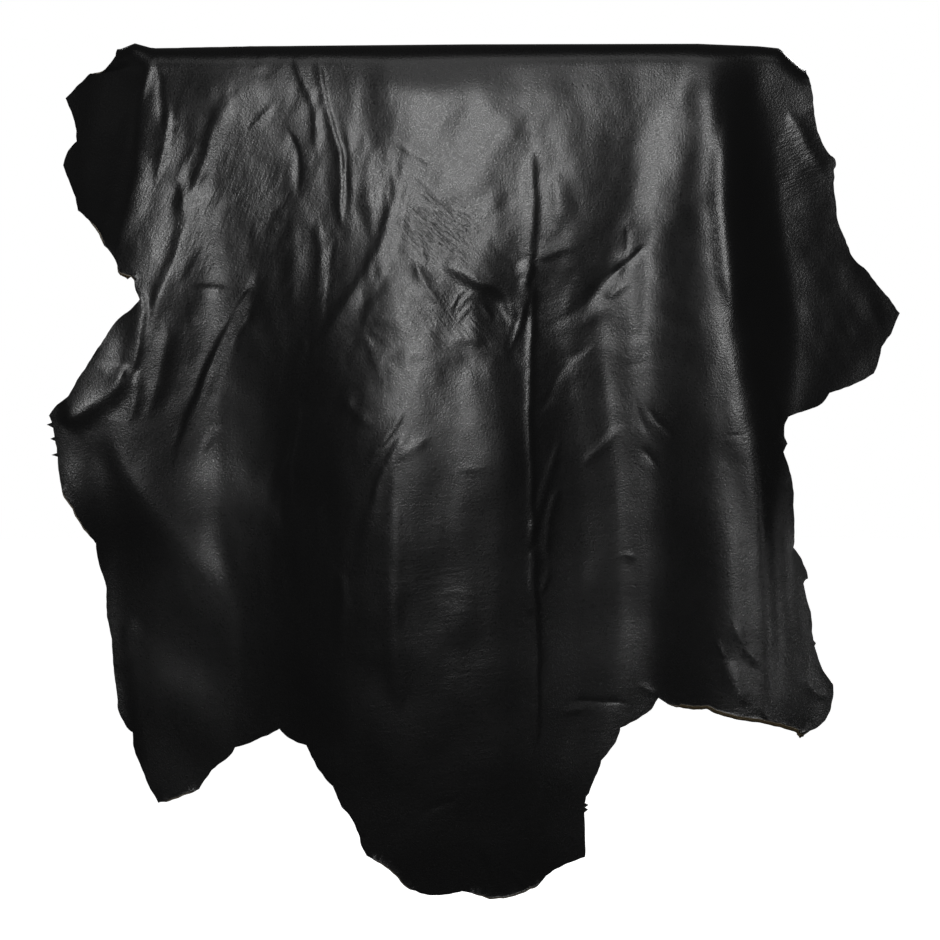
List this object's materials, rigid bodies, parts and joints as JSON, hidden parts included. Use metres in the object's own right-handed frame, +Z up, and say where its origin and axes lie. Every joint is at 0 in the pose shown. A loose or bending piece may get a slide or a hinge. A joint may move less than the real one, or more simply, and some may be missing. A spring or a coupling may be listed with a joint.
{
  "type": "leather hide",
  "caption": "Whole black leather hide hung over a straight rail: neck and forelegs in front, rump behind, long soft folds and an uneven cut edge.",
  "frame": {"origin": "underside of the fold over the rail, midway along the rail", "axes": "+X along the rail, +Z up, the front with its grain side faces -Y"},
  "size_m": [0.851, 0.0807, 0.8582],
  "materials": {
    "black_leather": "semi-gloss full-grain black, pebbled, with an olive-brown suede flesh side and cut edge"
  },
  "bodies": {
    "root": {"hide": "black_leather"}
  },
  "joints": []
}
